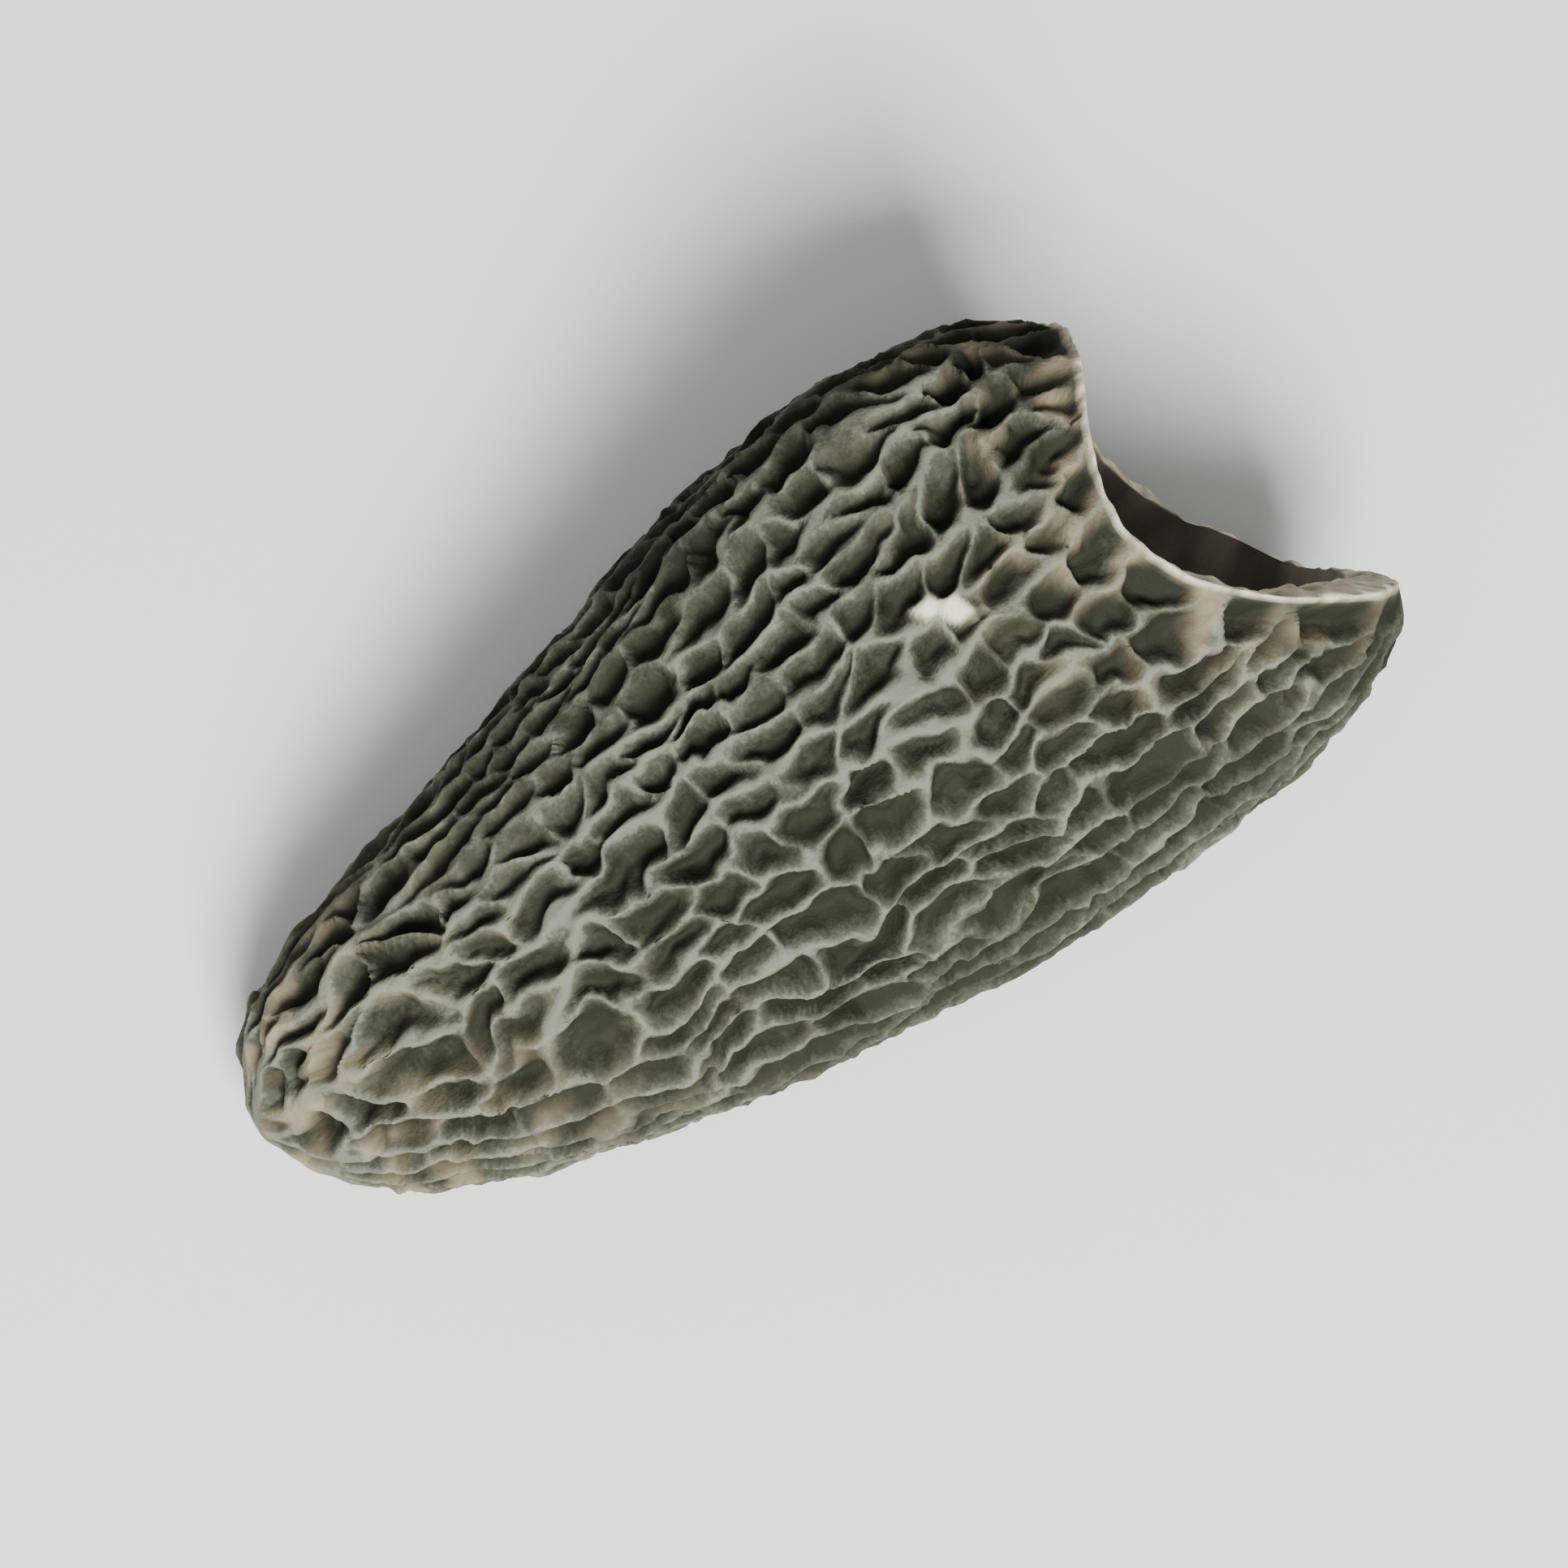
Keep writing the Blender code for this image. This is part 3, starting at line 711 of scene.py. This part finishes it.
def add_node(tree, kind, inputs=None, **settings):
    """A new node. Settings are its properties; inputs are values, or another node's output to link."""
    node = tree.nodes.new("ShaderNode" + kind)
    for name, value in settings.items():
        setattr(node, name, value)
    for name, value in (inputs or {}).items():
        if isinstance(value, bpy.types.NodeSocket):
            tree.links.new(value, node.inputs[name])
        else:
            node.inputs[name].default_value = value
    return node


def new_material(name):
    """A material with one Principled shader, its node tree and that shader."""
    material = bpy.data.materials.new(name)
    material.use_nodes = True
    return material, material.node_tree, material.node_tree.nodes["Principled BSDF"]


# %% [markdown]
# Dried flesh
#
# Dried morel flesh is leathery and matt: chitin and dark pigment, dried in warm air, with next to no gloss. The
# pits hold most of the pigment, and their grey is darkened further as painted shade. Ridge tops wear pale, because
# their skin dries first and cracks to a silver grey, and a painted highlight brightens their crests. Near the tip
# and the cut end the grey turns a warm straw beige. One material does it all: a ramp of greys that is read by the
# noted wear and painted light and shade, broken up by two noises, with the beige, the cream of the cut flesh and
# the raised spot, and the hollow's lining mixed in where they were noted. The same noises roughen the surface.

# %% Material of the cap
FLESH = {
    # The pit grey is the pits' own dark pigment, darkened further as painted shade.
    "pit": "#26271f",          # nearly black, where the pigment lies thickest
    "low wall": "#28291f",
    "wall": "#383930",
    "ridge": "#494a40",
    # The ridge-top grey is pale dry skin, brightened as a painted highlight.
    "ridge top": "#6a6c60",    # silver grey, cracked dry skin
    "beige": "#988b72",        # straw, where there is little pigment
    # The cream is bare flesh at the cut and the colour of the raised spot.
    "cut": "#ded6bc",          # cream, bare flesh
    "hollow": "#8a8074",       # mauve grey lining
    "hollow dark": "#5f5850",
}
STOPS = ((0.04, "pit"), (0.28, "low wall"), (0.5, "wall"), (0.74, "ridge"), (1.0, "ridge top"))
# The grain of the real skin is about 0.05 mm, finer than the picture shows, so it is drawn at 0.16 mm. The cracks
# have their real size. Each wear number is how far a noise can shift the grey, and each bump is its height.
GRAIN_MM, GRAIN_WEAR, GRAIN_BUMP_MM = 0.16, 0.45, 0.04
CRACK_MM, CRACK_WEAR, CRACK_BUMP_MM = 0.5, 0.8, 0.1
# Leathery skin scatters nearly all light. Its roughness follows the crack noise, which stays within NOISE_RANGE.
SPECULAR, DULLNESS, NOISE_RANGE = 0.1, (0.62, 0.88), (0.3, 0.7)


def texture_scale(size_mm):
    """Noise scale that gives features of this size on coordinates in metres."""
    return 1 / (size_mm * MM)


def dried_flesh():
    """Dark pits deepened with painted shade, pale ridge tops with a painted highlight, straw beige at the ends,
    cream where cut and on the raised spot, and mauve grey in the hollow.

    The wear and painted shade read by the greys is the noted number + CRACK_WEAR * (crack - 0.5) + GRAIN_WEAR *
    (grain - 0.5), because both noises are about 0.5 on average.
    """
    material, tree, shader = new_material("dried morel flesh")
    place = add_node(tree, "TexCoord").outputs["Object"]
    crack = add_node(tree, "TexNoise", {"Vector": place, "Scale": texture_scale(CRACK_MM), "Detail": 4.0,
                                        "Roughness": 0.7}).outputs["Fac"]
    grain = add_node(tree, "TexNoise", {"Vector": place, "Scale": texture_scale(GRAIN_MM), "Detail": 2.0,
                                        "Roughness": 0.6}).outputs["Fac"]
    noted = {name: add_node(tree, "Attribute", attribute_name=name).outputs["Fac"]
             for name in ("worn", "warm", "cut", "inside")}
    wear_and_shade_sum = add_node(tree, "Math", {0: noted["worn"], 1: (GRAIN_WEAR + CRACK_WEAR) / 2}, operation="SUBTRACT")
    wear_and_shade_sum = add_node(tree, "Math", {0: crack, 1: CRACK_WEAR, 2: wear_and_shade_sum.outputs[0]}, operation="MULTIPLY_ADD")
    wear_and_shade_sum = add_node(tree, "Math", {0: grain, 1: GRAIN_WEAR, 2: wear_and_shade_sum.outputs[0]}, operation="MULTIPLY_ADD")
    grey = add_node(tree, "ValToRGB", {"Fac": wear_and_shade_sum.outputs[0]})
    for position, _ in STOPS[1:-1]:
        grey.color_ramp.elements.new(position)
    for element, (position, name) in zip(grey.color_ramp.elements, STOPS):
        element.position, element.color = position, linear(FLESH[name])
    skin = add_node(tree, "Mix", {0: noted["warm"], 6: grey.outputs["Color"], 7: linear(FLESH["beige"])},
                    data_type="RGBA")
    skin = add_node(tree, "Mix", {0: noted["cut"], 6: skin.outputs[2], 7: linear(FLESH["cut"])}, data_type="RGBA")
    lining = add_node(tree, "Mix", {0: noted["warm"], 6: linear(FLESH["hollow dark"]), 7: linear(FLESH["hollow"])},
                      data_type="RGBA")
    colour = add_node(tree, "Mix", {0: noted["inside"], 6: skin.outputs[2], 7: lining.outputs[2]}, data_type="RGBA")
    tree.links.new(colour.outputs[2], shader.inputs["Base Color"])
    dull = add_node(tree, "MapRange", {"Value": crack, "From Min": NOISE_RANGE[0], "From Max": NOISE_RANGE[1],
                                       "To Min": DULLNESS[0], "To Max": DULLNESS[1]})
    tree.links.new(dull.outputs["Result"], shader.inputs["Roughness"])
    shader.inputs["Specular IOR Level"].default_value = SPECULAR
    grainy = add_node(tree, "Bump", {"Height": grain, "Distance": GRAIN_BUMP_MM * MM, "Strength": 0.5})
    cracked = add_node(tree, "Bump", {"Height": crack, "Distance": CRACK_BUMP_MM * MM, "Strength": 0.7,
                                      "Normal": grainy.outputs["Normal"]})
    tree.links.new(cracked.outputs["Normal"], shader.inputs["Normal"])
    return material


cap.data.materials.append(dried_flesh())
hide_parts(CAP)
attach(cap, "root")
print("painted", cap.name, "with", cap.data.materials[0].name)

# %% [markdown]
# Floor and light
#
# The floor is a plain matt pale sheet. One soft light stands high, a little below the picture's middle, so the
# pits' upper walls fall into shade, and a larger and weaker one next to it softens the shadows.

# %% Floor, lights and surroundings
FLOOR_SIDE = 3.0
FLOOR_COLOUR, FLOOR_ROUGHNESS = "#efeeea", 0.9
AIR_COLOUR, AIR_STRENGTH = "#ffffff", 0.3


def pale_floor():
    """A square sheet at height 0 in sprayed, nearly white paint, so matt that it shows no highlight."""
    half = FLOOR_SIDE / 2
    corners = [(-half, -half, 0), (half, -half, 0), (half, half, 0), (-half, half, 0)]
    sheet = bpy.data.meshes.new("floor")
    sheet.from_pydata(corners, [], [(0, 1, 2, 3)])
    floor = bpy.data.objects.new("floor", sheet)
    bpy.context.scene.collection.objects.link(floor)
    material, _, shader = new_material("matt white paint")
    shader.inputs["Base Color"].default_value = linear(FLOOR_COLOUR)
    shader.inputs["Roughness"].default_value = FLOOR_ROUGHNESS
    floor.data.materials.append(material)
    return floor


def soft_light(name, across, up, forward, gap, side, watts):
    """A square light, gap metres from the cap and aimed at it.

    It stands on the way across * (the picture's right) + up * (its upward way) + forward * (towards the camera).
    """
    right_way, up_way = image_axes()
    way = unit(across * right_way + up * up_way + forward * toward_camera())
    lamp = bpy.data.lights.new(name, "AREA")
    lamp.shape, lamp.size, lamp.energy = "SQUARE", side, watts
    light = bpy.data.objects.new(name, lamp)
    light.location = middle + gap * way
    light.rotation_euler = Vector(way).to_track_quat("Z", "Y").to_euler()
    bpy.context.scene.collection.objects.link(light)
    return light


pale_floor()
soft_light("key light", across=0.15, up=-0.42, forward=0.95, gap=0.6, side=0.2, watts=9.0)
soft_light("overhead light", across=-0.2, up=-0.3, forward=1.0, gap=0.8, side=0.6, watts=2.0)
surroundings = bpy.data.worlds.new("studio")
surroundings.use_nodes = True
background = surroundings.node_tree.nodes["Background"]
background.inputs["Color"].default_value = linear(AIR_COLOUR)
background.inputs["Strength"].default_value = AIR_STRENGTH
bpy.context.scene.world = surroundings
